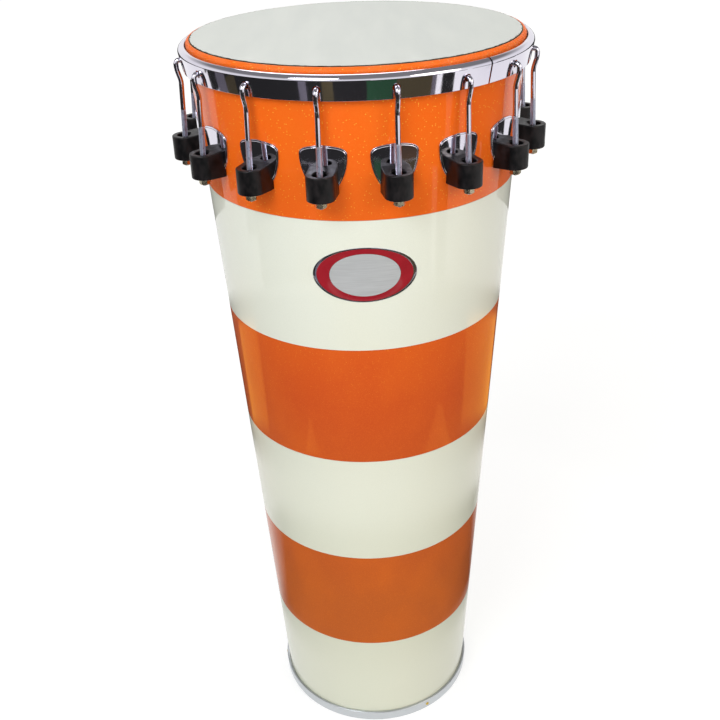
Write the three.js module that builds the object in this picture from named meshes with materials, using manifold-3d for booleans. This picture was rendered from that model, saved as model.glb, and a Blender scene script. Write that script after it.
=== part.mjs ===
// A timbal: a tall tapering wooden drum with one plastic head, in horizontal bands of two colours.
// A chromed counterhoop pulls the head down over the rim of the shell, sixteen J-shaped hooks pull the
// hoop down, and a nut under each moulded lug draws its hook.
// Millimetres. The origin is the centre of the foot, +Z runs up through the head and -Y is the front.
import * as THREE from "three";
import { mergeVertices } from "three/addons/utils/BufferGeometryUtils.js";
import Module from "manifold-3d";

// Gaps
const touchGap = 0.3; // between two pieces that touch
const cutOverrun = 6; // how far a cutting solid runs past what it cuts
const weldTolerance = 0.0005;

// Shell and its laminate
const shellHeight = 900; // foot to bearing edge
const footRadius = 127.7; // outside of the laminate at the foot
const headRadius = 180; // outside of the laminate at the head
const shellWall = 8;
const wrapThickness = 1;
const bearingInset = 4; // from the outside of the laminate in to the crown of the rim
const bearingDrop = 4; // height of the rounded outer edge of the rim
const bandCount = 6;
const bandColours = ["white", "orange"];

// Foot ring: an aluminium channel pushed over the bottom edge
const ringHeight = 15;
const ringWall = 3.4;
const ringFloor = 1.5;
const ringInnerWall = 1.5;
const ringInnerHeight = 12;
const ringEdgeRadius = 1.6;

// Head: film, and the flesh hoop that its edge is clamped in
const filmThickness = 0.5;
const collarClearance = 0.2; // film collar to the widest part of the shell
const skirtReach = 2.3; // how far the film's edge runs out into the flesh hoop
const fleshHoopHeight = 5.6;
const fleshHoopWidth = 3.8;

// Counterhoop: a rolled strip with a flange that bears on the flesh hoop
const flangeDrop = 4.8; // from the bearing edge down to the top of the flange
const hoopThickness = 2;
const hoopCornerRadius = 5.5;
const hoopTaper = 3.6; // how much further in its lower edge is than its corner
const hoopHeight = 24.4;
const flangeClearance = 0.4; // film collar to the flange's edge
const fleshHoopClearance = 1.7; // flesh hoop to the inside of the hoop, at its corner

// Hooks
const stationCount = 16;
const rodRadius = 2.65;
const threadRadius = 3;
const rodLean = THREE.MathUtils.degToRad(2.6); // the rods lean outwards towards their lower ends
const rodFootOutset = 0.4; // rod axis, where it leaves the lug, outside of the leg's axis
const threadLength = 60.4;
const threadProjection = 1.6; // thread below the nut
const legClearance = 0.35; // upright leg to the hoop's widest part
const legLength = 7.8;
const bendHeight = 13; // height of the bend from the rod out to the leg
const archRadius = 3.6; // centre line of the arch
const archClearance = 2.6; // top of the arch below the flesh hoop
const archSweep = THREE.MathUtils.degToRad(108);
const tipLength = 4.6;
const hookHoleRadius = 3.8;

// Nuts
const nutAcrossFlats = 10;
const nutHeight = 5;
const washerRadius = 6;
const washerThickness = 1.6;
const threadClearance = 0.4; // rod to nut, which also lets the leaning rod rise

// Lugs: a moulded block with its pick-shaped backing plate
const blockDrop = 96.2; // from the bearing edge down to the top of the block
const blockHeight = 25.3;
const blockHalfWidth = 14.2;
const blockFrontWall = 5.8; // in front of the counterbore
const blockRise = 2.6; // the top climbs towards the plate
const blockSocket = 0.9; // how deep the block's back is let into the plate
const blockFloor = 10; // thickness under the counterbore
const counterboreRadius = 7.4;
const counterboreOffset = 0.1; // counterbore's centre inwards of the rod's foot
const floorHoleClearance = 0.9;
const plateHalfWidth = 23.7;
const plateHeight = 49.7;
const plateDrop = 0.5; // tip of the plate below the block
const plateThickness = 1.8;
const plateWidestShare = 0.804; // height of the widest place, as a share of the plate's height

// Facets
const sidesPerStation = 3; // an odd number, so each lug sits on the middle of a flat
const ringSides = sidesPerStation * stationCount;
const rodSides = 8;
const boreSides = 8;
const washerSides = 12;
const nutSides = 6;
const rimSteps = 2;
const archSteps = 4;
const bendSteps = 3;
const frontSteps = 6;
const plateCurveSteps = 4;

const wasm = await Module();
wasm.setup();

const drum = new THREE.Group();

const finishes = {
  wood: new THREE.MeshStandardMaterial({ color: "#c79a63", roughness: 0.7 }),
  orange: new THREE.MeshStandardMaterial({ color: "#e8641c", roughness: 0.2 }),
  white: new THREE.MeshStandardMaterial({ color: "#e6ead8", roughness: 0.25 }),
  film: new THREE.MeshStandardMaterial({ color: "#d6d8d2", roughness: 0.35 }),
  chrome: new THREE.MeshStandardMaterial({ color: "#d9dadd", roughness: 0.06, metalness: 1 }),
  zinc: new THREE.MeshStandardMaterial({ color: "#b9bcc0", roughness: 0.3, metalness: 1 }),
  aluminium: new THREE.MeshStandardMaterial({ color: "#b8babb", roughness: 0.35, metalness: 1 }),
  blackPlastic: new THREE.MeshStandardMaterial({ color: "#16161a", roughness: 0.45 }),
};

function wrapRadius(z) {
  return footRadius + ((headRadius - footRadius) * z) / shellHeight;
}

function woodRadius(z) {
  return wrapRadius(z) - wrapThickness - touchGap;
}

function point(r, z) {
  return new THREE.Vector2(r, z);
}

// A quarter of an ellipse, or any other stretch of one, as profile points without its two ends
function arc(centreR, centreZ, reachR, reachZ, from, to, steps) {
  return Array.from({ length: steps - 1 }, (_, i) => {
    const angle = from + ((to - from) * (i + 1)) / steps;
    return point(centreR + reachR * Math.cos(angle), centreZ + reachZ * Math.sin(angle));
  });
}

// Turns an outline, drawn anticlockwise in radius and height, about the drum's axis
function turned(outline) {
  return new THREE.LatheGeometry(outline, ringSides).rotateX(Math.PI / 2);
}

function turnedRing(outline) {
  return turned([...outline, outline[0]]);
}

function polygon(radius, sides) {
  const corners = Array.from({ length: sides }, (_, i) => {
    const angle = ((i + 1 / 2) * 2 * Math.PI) / sides;
    return point(radius * Math.cos(angle), radius * Math.sin(angle));
  });
  return new THREE.Shape(corners);
}

// The corner radius of a polygon whose flats lie at the given radius
function overFlats(radius, sides) {
  return radius / Math.cos(Math.PI / sides);
}

function prism(shape, height) {
  return new THREE.ExtrudeGeometry(shape, { depth: height, bevelEnabled: false });
}

function solidOf(geometry) {
  const bare = geometry.clone();
  bare.deleteAttribute("normal");
  bare.deleteAttribute("uv");
  const welded = mergeVertices(bare, weldTolerance);
  const vertProperties = welded.attributes.position.array;
  const triVerts = new Uint32Array(welded.index.array);
  return new wasm.Manifold(new wasm.Mesh({ numProp: 3, vertProperties, triVerts }));
}

function geometryOf(solid) {
  const { vertProperties, triVerts } = solid.getMesh();
  const shared = new THREE.BufferGeometry();
  shared.setAttribute("position", new THREE.BufferAttribute(vertProperties, 3));
  shared.setIndex(new THREE.BufferAttribute(triVerts, 1));
  const flat = shared.toNonIndexed();
  flat.computeVertexNormals();
  return flat;
}

function addMesh(parent, name, geometry, finish) {
  const mesh = new THREE.Mesh(geometry, finish);
  mesh.name = name;
  parent.add(mesh);
  return mesh;
}

// A rod's centre line: straight stretches between points, one section of the rod at each point
class RodLine extends THREE.Curve {
  constructor(points) {
    super();
    this.points = points.map(({ x, y }) => new THREE.Vector3(x, 0, y));
  }
  getPoint(t, target = new THREE.Vector3()) {
    const place = t * (this.points.length - 1);
    const index = Math.min(Math.floor(place), this.points.length - 2);
    return target.lerpVectors(this.points[index], this.points[index + 1], place - index);
  }
  getTangent(t, target = new THREE.Vector3()) {
    const last = this.points.length - 1;
    const index = Math.round(t * last);
    const here = this.points[index];
    const arriving = here.clone().sub(this.points[Math.max(index - 1, 0)]);
    const leaving = this.points[Math.min(index + 1, last)].clone().sub(here);
    return target.copy(arriving.normalize()).add(leaving.normalize()).normalize();
  }
  getUtoTmapping(u) {
    return u;
  }
}

function rodAlong(points, radius) {
  const extrudePath = new RodLine(points);
  const steps = points.length - 1;
  return new THREE.ExtrudeGeometry(polygon(radius, rodSides), { extrudePath, steps });
}

// Rim of the shell: the laminate is rolled over the rounded outer edge as far as the crown
const crownRadius = headRadius - bearingInset;
const shoulderZ = shellHeight - bearingDrop;
const woodFootZ = ringFloor + touchGap;

function rimArc(outset, from, to) {
  const reachR = wrapRadius(shoulderZ) - crownRadius + outset;
  return arc(crownRadius, shoulderZ, reachR, bearingDrop + outset, from, to, rimSteps);
}

function makeShell() {
  const woodOutset = -wrapThickness - touchGap;
  const crownZ = shellHeight + woodOutset;
  const innerFoot = woodRadius(woodFootZ) - shellWall;
  const slope = (headRadius - footRadius) / shellHeight;
  // The inner bevel falls at 45 degrees from the crown until it meets the inner wall
  const bevelDrop = (crownRadius - (woodRadius(crownZ) - shellWall)) / (1 - slope);
  return turnedRing([
    point(innerFoot, woodFootZ),
    point(woodRadius(woodFootZ), woodFootZ),
    point(woodRadius(shoulderZ), shoulderZ),
    ...rimArc(woodOutset, 0, Math.PI / 2),
    point(crownRadius, crownZ),
    point(crownRadius - bevelDrop, crownZ - bevelDrop),
  ]);
}

function makeWrap(bottomZ, topZ) {
  return turnedRing([
    point(wrapRadius(bottomZ) - wrapThickness, bottomZ),
    point(wrapRadius(bottomZ), bottomZ),
    point(wrapRadius(topZ), topZ),
    point(wrapRadius(topZ) - wrapThickness, topZ),
  ]);
}

function makeTopWrap(bottomZ) {
  return turnedRing([
    point(wrapRadius(bottomZ) - wrapThickness, bottomZ),
    point(wrapRadius(bottomZ), bottomZ),
    point(wrapRadius(shoulderZ), shoulderZ),
    ...rimArc(0, 0, Math.PI / 2),
    point(crownRadius, shellHeight),
    point(crownRadius, shellHeight - wrapThickness),
    ...rimArc(-wrapThickness, Math.PI / 2, 0),
    point(wrapRadius(shoulderZ) - wrapThickness, shoulderZ),
  ]);
}

// Wraps are numbered from the foot up
function addWraps() {
  const bandHeight = shellHeight / bandCount;
  for (let i = 0; i < bandCount; i += 1) {
    const colour = bandColours[i % bandColours.length];
    const bottomZ = i === 0 ? woodFootZ : i * bandHeight + touchGap / 2;
    const isTop = i === bandCount - 1;
    const geometry = isTop
      ? makeTopWrap(bottomZ)
      : makeWrap(bottomZ, (i + 1) * bandHeight - touchGap / 2);
    addMesh(drum, `wrap_${i + 1}_${colour}`, geometry, finishes[colour]);
  }
}

function makeBottomRing() {
  const outer = (z) => wrapRadius(z) + touchGap + ringWall;
  const channelOuter = (z) => wrapRadius(z) + touchGap;
  const channelInner = (z) => woodRadius(z) - shellWall - touchGap;
  const inner = (z) => channelInner(z) - ringInnerWall;
  return turnedRing([
    point(inner(0), 0),
    point(outer(0) - ringEdgeRadius, 0),
    point(outer(ringEdgeRadius), ringEdgeRadius),
    point(outer(ringHeight - ringEdgeRadius), ringHeight - ringEdgeRadius),
    point(outer(ringHeight) - ringEdgeRadius, ringHeight),
    point(channelOuter(ringHeight), ringHeight),
    point(channelOuter(ringFloor), ringFloor),
    point(channelInner(ringFloor), ringFloor),
    point(channelInner(ringInnerHeight), ringInnerHeight),
    point(inner(ringInnerHeight), ringInnerHeight),
  ]);
}

// Head and hoop, from the flange down
const collarInner = headRadius + collarClearance;
const collarOuter = collarInner + filmThickness;
const flangeTop = shellHeight - flangeDrop;
const flangeBottom = flangeTop - hoopThickness;
const fleshHoopTop = flangeBottom - touchGap;
const fleshHoopBottom = fleshHoopTop - fleshHoopHeight;
const fleshHoopInner = collarOuter + touchGap;
const fleshHoopOuter = fleshHoopInner + fleshHoopWidth;
const skirtBottom = (fleshHoopTop + fleshHoopBottom - filmThickness) / 2;
const skirtTop = skirtBottom + filmThickness;
const skirtOuter = collarOuter + skirtReach;
const hoopBottom = flangeTop - hoopHeight;
const hoopCornerZ = flangeTop - hoopCornerRadius;
const hoopTopRadius = fleshHoopOuter + fleshHoopClearance + hoopThickness;
const hoopBottomRadius = hoopTopRadius - hoopTaper;

function hoopOuter(z) {
  const share = (z - hoopBottom) / (hoopCornerZ - hoopBottom);
  return hoopBottomRadius + (hoopTopRadius - hoopBottomRadius) * share;
}

function makeHeadFilm() {
  const underside = shellHeight + touchGap;
  const topside = underside + filmThickness;
  const fold = (collar, height, from, to) => {
    const reachR = collar - crownRadius;
    return arc(crownRadius, shoulderZ, reachR, height - shoulderZ, from, to, rimSteps);
  };
  return turned([
    point(0, underside),
    point(crownRadius, underside),
    ...fold(collarInner, underside, Math.PI / 2, 0),
    point(collarInner, shoulderZ),
    point(collarInner, skirtBottom),
    point(skirtOuter, skirtBottom),
    point(skirtOuter, skirtTop),
    point(collarOuter, skirtTop),
    point(collarOuter, shoulderZ),
    ...fold(collarOuter, topside, 0, Math.PI / 2),
    point(crownRadius, topside),
    point(0, topside),
  ]);
}

// The flesh hoop's upper edge is bevelled, to clear the inside of the counterhoop's corner
function makeFleshHoop() {
  const grooveOuter = skirtOuter + touchGap;
  const bevel = hoopCornerRadius - hoopThickness - fleshHoopClearance;
  return turnedRing([
    point(fleshHoopInner, fleshHoopBottom),
    point(fleshHoopOuter, fleshHoopBottom),
    point(fleshHoopOuter, fleshHoopTop - bevel),
    point(fleshHoopOuter - bevel, fleshHoopTop),
    point(fleshHoopInner, fleshHoopTop),
    point(fleshHoopInner, skirtTop + touchGap),
    point(grooveOuter, skirtTop + touchGap),
    point(grooveOuter, skirtBottom - touchGap),
    point(fleshHoopInner, skirtBottom - touchGap),
  ]);
}

// Hook, drawn in the plane of its station: radius from the drum's axis and height
const blockTop = shellHeight - blockDrop;
const blockBottom = blockTop - blockHeight;
const legRadius = hoopTopRadius + legClearance + rodRadius;
const rodFootRadius = legRadius + rodFootOutset;
const threadEnd = nutHeight + washerThickness + threadProjection + touchGap;

function onRod(distance) {
  const r = rodFootRadius - distance * Math.sin(rodLean);
  return point(r, blockBottom + distance * Math.cos(rodLean));
}

const archTop = fleshHoopBottom - archClearance - rodRadius;
const archCentre = point(legRadius - archRadius, archTop - archRadius);
const archEnd = point(
  archCentre.x + archRadius * Math.cos(archSweep),
  archCentre.y + archRadius * Math.sin(archSweep),
);
const tipFall = archSweep - Math.PI / 2; // the tip's slope below the horizontal
const tipEnd = point(
  archEnd.x - tipLength * Math.cos(tipFall),
  archEnd.y - tipLength * Math.sin(tipFall),
);

function makeHook() {
  const legFoot = point(legRadius, archCentre.y - legLength);
  const knee = onRod((legFoot.y - bendHeight - blockBottom) / Math.cos(rodLean));
  const bend = Array.from({ length: bendSteps - 1 }, (_, i) => {
    const share = (i + 1) / bendSteps;
    const easedShare = share * share * (3 - 2 * share);
    return point(knee.x + (legFoot.x - knee.x) * easedShare, knee.y + bendHeight * share);
  });
  const arch = arc(archCentre.x, archCentre.y, archRadius, archRadius, 0, archSweep, archSteps);
  const archStart = point(legRadius, archCentre.y);
  const line = [knee, ...bend, legFoot, archStart, ...arch, archEnd, tipEnd];
  const thread = rodAlong([onRod(-threadEnd), onRod(threadLength - threadEnd)], threadRadius);
  const rod = rodAlong([onRod(threadLength / 2), ...line], rodRadius);
  return geometryOf(solidOf(rod).add(solidOf(thread)));
}

// The hook bears on the lower edge of its hole, at the inner face of the hoop
function hookHoleZ() {
  const flatShare = Math.cos(Math.PI / ringSides);
  const innerFace = (hoopOuter(archCentre.y) - hoopThickness) * flatShare;
  const underside = archEnd.y - (archEnd.x - innerFace) * Math.tan(tipFall) - rodRadius / Math.cos(tipFall);
  return underside - touchGap + hookHoleRadius;
}

function makeCounterhoop() {
  const cornerR = hoopTopRadius - hoopCornerRadius;
  const innerCorner = hoopCornerRadius - hoopThickness;
  const corner = (radius, from, to) => arc(cornerR, hoopCornerZ, radius, radius, from, to, rimSteps);
  const flangeInner = collarOuter + flangeClearance;
  const strip = turnedRing([
    point(hoopBottomRadius - hoopThickness, hoopBottom),
    point(hoopBottomRadius, hoopBottom),
    point(hoopTopRadius, hoopCornerZ),
    ...corner(hoopCornerRadius, 0, Math.PI / 2),
    point(cornerR, flangeTop),
    point(flangeInner, flangeTop),
    point(flangeInner, flangeBottom),
    point(cornerR, flangeBottom),
    ...corner(innerCorner, Math.PI / 2, 0),
    point(hoopTopRadius - hoopThickness, hoopCornerZ),
  ]);
  const holeShape = polygon(overFlats(hookHoleRadius, rodSides), rodSides);
  const cutter = prism(holeShape, hoopThickness + 2 * cutOverrun);
  cutter.rotateY(Math.PI / 2);
  cutter.translate(hoopOuter(hookHoleZ()) - hoopThickness - cutOverrun, 0, hookHoleZ());
  return geometryOf(
    stationAngles.reduce(
      (hoop, angle) => hoop.subtract(solidOf(cutter.clone().rotateZ(angle))),
      solidOf(strip),
    ),
  );
}

// Nut with its washer face, about its own axis with the washer's top at the origin
function makeNut() {
  const boreRadius = overFlats(threadRadius + threadClearance, nutSides);
  const washer = prism(polygon(washerRadius, washerSides), washerThickness);
  washer.translate(0, 0, -washerThickness);
  const hexagon = prism(polygon(overFlats(nutAcrossFlats / 2, nutSides), nutSides), nutHeight + touchGap);
  hexagon.translate(0, 0, -washerThickness - nutHeight);
  const bore = prism(polygon(boreRadius, nutSides), nutHeight + washerThickness + 2 * cutOverrun);
  bore.translate(0, 0, -washerThickness - nutHeight - cutOverrun);
  return geometryOf(solidOf(washer).add(solidOf(hexagon)).subtract(solidOf(bore)));
}

// Plate's tip and top
const plateTip = blockBottom - plateDrop;
const plateTop = plateTip + plateHeight;

// A cone behind a lug, so far outside the laminate
function makeCone(outset, angle) {
  const bottomZ = plateTip - cutOverrun;
  const topZ = plateTop + cutOverrun;
  const cone = turned([
    point(0, bottomZ),
    point(wrapRadius(bottomZ) + outset, bottomZ),
    point(wrapRadius(topZ) + outset, topZ),
    point(0, topZ),
  ]);
  // It is turned the other way, because the lug is made on the +X side and then turned
  return solidOf(cone.rotateZ(-angle));
}

// Block: its side view, swept across its width and trimmed to its round-fronted plan
function makeBlock() {
  const backR = wrapRadius(blockBottom) - shellWall;
  const counterboreCentre = rodFootRadius - counterboreOffset;
  const blockReach = counterboreCentre + counterboreRadius + blockFrontWall;
  const roundCentre = blockReach - blockHalfWidth;
  const side = new THREE.Shape([
    point(backR, blockBottom),
    point(blockReach, blockBottom),
    point(blockReach, blockTop),
    point(roundCentre, blockTop),
    point(wrapRadius(blockTop), blockTop + blockRise),
    point(backR, blockTop + blockRise),
  ]);
  const sideSolid = prism(side, 2 * blockHalfWidth);
  sideSolid.rotateX(Math.PI / 2).translate(0, blockHalfWidth, 0);

  const front = Array.from({ length: frontSteps + 1 }, (_, i) => {
    const angle = -Math.PI / 2 + (Math.PI * i) / frontSteps;
    return point(roundCentre + blockHalfWidth * Math.cos(angle), blockHalfWidth * Math.sin(angle));
  });
  const plan = new THREE.Shape([point(backR, -blockHalfWidth), ...front, point(backR, blockHalfWidth)]);
  const planSolid = prism(plan, blockHeight + blockRise + 2 * cutOverrun);
  planSolid.translate(0, 0, blockBottom - cutOverrun);

  const floorTop = blockBottom + blockFloor;
  const counterbore = prism(polygon(counterboreRadius, boreSides), blockHeight + cutOverrun);
  counterbore.translate(counterboreCentre, 0, floorTop);
  const holeRadius = overFlats(threadRadius + floorHoleClearance, rodSides);
  const floorHole = prism(polygon(holeRadius, rodSides), blockFloor + 2 * cutOverrun);
  floorHole.translate(onRod(blockFloor / 2).x, 0, blockBottom - cutOverrun);
  return solidOf(sideSolid)
    .intersect(solidOf(planSolid))
    .subtract(solidOf(counterbore))
    .subtract(solidOf(floorHole));
}

// Outline of the backing plate, a pick with its tip down, drawn across and up
function plateOutline() {
  const widestZ = plateTip + plateHeight * plateWidestShare;
  const crestHeight = plateTop - widestZ;
  const lowerPullShare = { tip: 0.5, side: 0.4 };
  const upperPullShare = { side: 0.75, top: 0.62, fall: 0.12 };
  const sidePull = (side) => [
    [side * plateHalfWidth, plateTip + plateHeight * lowerPullShare.side],
    [side * plateHalfWidth, widestZ + crestHeight * upperPullShare.side],
  ];
  const crestPull = (side) => [
    side * plateHalfWidth * upperPullShare.top,
    plateTop - crestHeight * upperPullShare.fall,
  ];
  const tipPull = (side) => [side * plateHalfWidth * lowerPullShare.tip, plateTip];
  const [rightLower, rightUpper] = sidePull(1);
  const [leftLower, leftUpper] = sidePull(-1);
  return new THREE.Shape()
    .moveTo(0, plateTip)
    .bezierCurveTo(...tipPull(1), ...rightLower, plateHalfWidth, widestZ)
    .bezierCurveTo(...rightUpper, ...crestPull(1), 0, plateTop)
    .bezierCurveTo(...crestPull(-1), ...leftUpper, -plateHalfWidth, widestZ)
    .bezierCurveTo(...leftLower, ...tipPull(-1), 0, plateTip);
}

// Backing plate: its outline, cut from a sheet that follows the shell
function makePlate(angle) {
  const backR = wrapRadius(plateTip) - shellWall;
  const frontR = wrapRadius(plateTop) + touchGap + plateThickness + cutOverrun;
  const plate = new THREE.ExtrudeGeometry(plateOutline(), {
    depth: frontR - backR,
    curveSegments: plateCurveSteps,
    bevelEnabled: false,
  });
  // Turning the outline brings its depth to the radius
  plate.rotateX(Math.PI / 2).rotateZ(Math.PI / 2).translate(backR, 0, 0);
  return solidOf(plate)
    .intersect(makeCone(touchGap + plateThickness, angle))
    .subtract(makeCone(touchGap, angle));
}

function makeLug(angle) {
  const blockSeat = makeCone(touchGap + plateThickness - blockSocket, angle);
  return geometryOf(makeBlock().subtract(blockSeat).add(makePlate(angle)));
}

const frontAngle = -Math.PI / 2;
const stationStep = (2 * Math.PI) / stationCount;
const stationAngles = Array.from(
  { length: stationCount },
  (_, i) => frontAngle + (i + 1 / 2) * stationStep,
);

function addStations() {
  const hook = makeHook();
  const nut = makeNut();
  const lug = makeLug(stationAngles[0]);
  const nutDrop = touchGap + washerRadius * Math.sin(rodLean);
  const nutSeat = onRod(-nutDrop);
  stationAngles.forEach((angle, i) => {
    const number = String(i + 1).padStart(2, "0");
    const station = new THREE.Group();
    station.rotation.z = angle;
    drum.add(station);
    addMesh(station, `hook_${number}`, hook, finishes.chrome);
    addMesh(station, `lug_${number}`, lug, finishes.blackPlastic);
    const nutMesh = addMesh(station, `nut_${number}`, nut, finishes.zinc);
    nutMesh.position.set(nutSeat.x, 0, nutSeat.y);
    nutMesh.rotation.y = -rodLean;
  });
}

addMesh(drum, "shell", makeShell(), finishes.wood);
addWraps();
addMesh(drum, "bottom_ring", makeBottomRing(), finishes.aluminium);
addMesh(drum, "head_film", makeHeadFilm(), finishes.film);
addMesh(drum, "flesh_hoop", makeFleshHoop(), finishes.aluminium);
addMesh(drum, "counterhoop", makeCounterhoop(), finishes.chrome);
addStations();

export default drum;
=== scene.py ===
"""The looks of a timbal: a tall tapering drum in bands of gloss laminate, with a coated head under a
chromed counterhoop, and hooks, nuts and moulded lugs at sixteen stations.

Lengths are millimetres until a mesh is made. The drum stands on the origin and its front is -Y. What
repeats at the stations is made on the +X side and then turned to its place.
"""
from math import atan, cos, pi, radians, sin, sqrt, tan

import bmesh
import bpy
from mathutils import Matrix, Vector


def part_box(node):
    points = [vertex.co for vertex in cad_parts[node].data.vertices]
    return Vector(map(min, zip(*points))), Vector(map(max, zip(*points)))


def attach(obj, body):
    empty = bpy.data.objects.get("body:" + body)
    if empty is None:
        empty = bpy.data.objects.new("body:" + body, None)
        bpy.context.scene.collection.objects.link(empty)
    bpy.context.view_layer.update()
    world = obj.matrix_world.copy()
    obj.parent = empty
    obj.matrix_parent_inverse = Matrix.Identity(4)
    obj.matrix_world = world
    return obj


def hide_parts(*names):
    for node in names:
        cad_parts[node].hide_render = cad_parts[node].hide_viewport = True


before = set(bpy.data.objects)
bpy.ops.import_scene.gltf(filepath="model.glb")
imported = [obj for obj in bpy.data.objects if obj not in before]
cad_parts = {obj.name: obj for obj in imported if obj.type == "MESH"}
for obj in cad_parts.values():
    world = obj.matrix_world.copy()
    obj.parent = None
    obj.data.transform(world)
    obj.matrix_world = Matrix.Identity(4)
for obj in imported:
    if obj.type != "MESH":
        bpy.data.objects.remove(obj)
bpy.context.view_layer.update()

scene = bpy.context.scene

MM = 0.001
QUARTER = pi / 2
FRONT = radians(-90)
SHARP = radians(38)  # a fold steeper than this shows as an edge

# Round pieces are turned in so many steps to a station
STATIONS = 16
STEPS_PER_STATION = 24

# Steps of smaller curves, and sides of smaller round shapes
rim_steps = 8
hoop_corner_steps = 12
bend_steps = 16
arch_steps = 18
block_front_steps = 32
rod_sides = 20
thread_sides = 12
nail_sides = 24
washer_sides = 36
hole_sides = 32
counterbore_sides = 64
nameplate_sides = 96
cloth_steps = 24

# Gaps and walls that the boxes of the CAD nodes don't give
touch_gap = 0.3
wrap_thickness = 1
shell_wall = 8
bearing_inset = 4
bearing_drop = 4
film_thickness = 0.5
film_clearance = 0.2
hoop_thickness = 2
hoop_corner = 5.5
hoop_taper = 3.6
flange_clearance = 0.4
flesh_hoop_bevel = 1.8
coating_inset = 1.3  # the head's coating stops this far inside the crown of the rim

# Foot ring
ring_wall = 3.4
ring_floor = 1.5
ring_inner_wall = 1.5
ring_inner_height = 12
ring_round = 1.5

# Hook and nut
rod_radius = 2.65
thread_core = 2.6
thread_crest = 3
thread_pitch = 1
thread_half_ridge = 0.42
thread_sink = 0.1  # the ridge starts this far inside the rod
thread_blend = 0.5  # the threaded end widens to the plain rod over this height
rod_chamfer = 0.7
rod_lean = radians(2.6)
thread_length = 60.4
leg_clearance = 0.35
leg_length = 1
bend_height = 22
arch_radius = 3.6
arch_clearance = 2.6
arch_sweep = radians(108)
tip_length = 4.6
hook_hole_radius = 3.8
rod_foot_outset = 0.4
nut_flats = 10
nut_height = 5
nut_chamfer = 1.0
nut_bore = 3.4
nut_overlap = 0.1  # the hexagon reaches this far into its washer face
washer_radius = 6
washer_thickness = 1.6
thread_projection = 1.6

# Lug
block_height = 25.3
block_half_width = 14.2
block_front_wall = 5.5
block_rise = 2.6
block_socket = 0.9
block_floor = 10
block_round = 1.1
block_rim_fold = radians(50)  # folds steeper than this are rounded
counterbore_chamfer = 0.7
counterbore_radius = 7.4
counterbore_offset = 0.1
floor_hole_radius = 3.9
plate_half_width = 23.7
plate_height = 49.7
plate_drop = 0.5
plate_thickness = 1.8
plate_edge = 0.4
plate_widest_share = 0.804
plate_rim = 1.35  # the rim stands a little below the field
plate_rim_width = 1.3
plate_crown = 0.4

# Screws that hold the lugs, seen from inside
screw_flats = 10
screw_height = 4
screw_chamfer = 0.8
screw_washer_radius = 9

# Nails of the foot ring, at even turns from the one that shows
nail_count = 3
nail_angle = FRONT + radians(32)
nail_radius = 2.3
nail_height = 1.2
nail_edge = 0.3  # height of the straight edge under the dome

# Plain oval nameplate on the upper white band
nameplate_angle = FRONT + radians(0.8)
nameplate_height = 690
nameplate_half_width = 54
nameplate_half_height = 31
nameplate_seat = 0.05  # its back stands this far off the laminate

# Joint of the hoop's strip
hoop_joint_angle = FRONT + radians(43)
hoop_joint_gap = 2.2

# The butt joint of each laminate sheet, at the back
wrap_joint_angle = FRONT + radians(180)
wrap_joint_gap = 0.25


def low(node):
    return [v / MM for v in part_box(node)[0]]


def high(node):
    return [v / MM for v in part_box(node)[1]]


wraps = sorted(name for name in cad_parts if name.startswith("wrap_"))
head_wrap = wraps[-1]
head_z = high(head_wrap)[2]

# The laminate's cone runs through the upper edges of two wraps
lower_radius, _, lower_z = high(wraps[0])
upper_radius, _, upper_z = high(wraps[-2])
taper = (upper_radius - lower_radius) / (upper_z - lower_z)


def laminate(z):
    """Outside radius of the laminate at a height."""
    return lower_radius + taper * (z - lower_z)


def wood(z):
    return laminate(z) - wrap_thickness - touch_gap


crown_radius = laminate(head_z) - bearing_inset
shoulder_z = head_z - bearing_drop
wood_foot = ring_floor + touch_gap

hoop_top_radius = high("counterhoop")[0]
hoop_bottom, hoop_top = low("counterhoop")[2], high("counterhoop")[2]
hoop_corner_z = hoop_top - hoop_corner
flesh_bottom, flesh_top = low("flesh_hoop")[2], high("flesh_hoop")[2]
flesh_outer = high("flesh_hoop")[0]
skirt_bottom = low("head_film")[2]
skirt_outer = high("head_film")[0]
collar_inner = laminate(head_z) + film_clearance
collar_outer = collar_inner + film_thickness

leg_radius = hoop_top_radius + leg_clearance + rod_radius
rod_foot = leg_radius + rod_foot_outset
block_bottom = low("lug_01")[2] + plate_drop
block_top = block_bottom + block_height
arch_centre = (leg_radius - arch_radius, flesh_bottom - arch_clearance - rod_radius - arch_radius)


def linear(colour):
    """A linear colour from an sRGB hex value."""
    parts = [int(colour[i:i + 2], 16) / 255 for i in (1, 3, 5)]
    return (*[c / 12.92 if c <= 0.04045 else ((c + 0.055) / 1.055) ** 2.4 for c in parts], 1)


def per(length):
    """The scale of a texture in object coordinates for a pattern that repeats every length."""
    return 1 / (length * MM)


def add(tree, kind, sockets=None, **settings):
    """Adds a node. A socket takes a value, or a link from another node's output."""
    node = tree.nodes.new("ShaderNode" + kind)
    for key, value in settings.items():
        setattr(node, key, value)
    for key, value in (sockets or {}).items():
        if isinstance(value, bpy.types.NodeSocket):
            tree.links.new(value, node.inputs[key])
        else:
            node.inputs[key].default_value = value
    return node


def material(name, build):
    """A material whose surface is the shader that build makes in its tree."""
    made = bpy.data.materials.new(name)
    made.use_nodes = True
    tree = made.node_tree
    tree.nodes.clear()
    add(tree, "OutputMaterial", {"Surface": build(tree)})
    return made


def principled(tree, sockets):
    return add(tree, "BsdfPrincipled", sockets).outputs[0]


def worked_out(tree, operation, first, second):
    """Two values as one, by an operation of the maths node."""
    return add(tree, "Math", {0: first, 1: second}, operation=operation).outputs[0]


def place_of(tree):
    return add(tree, "TexCoord").outputs["Object"]


def length_of(tree, vector):
    return add(tree, "VectorMath", {0: vector}, operation="LENGTH").outputs["Value"]


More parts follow.
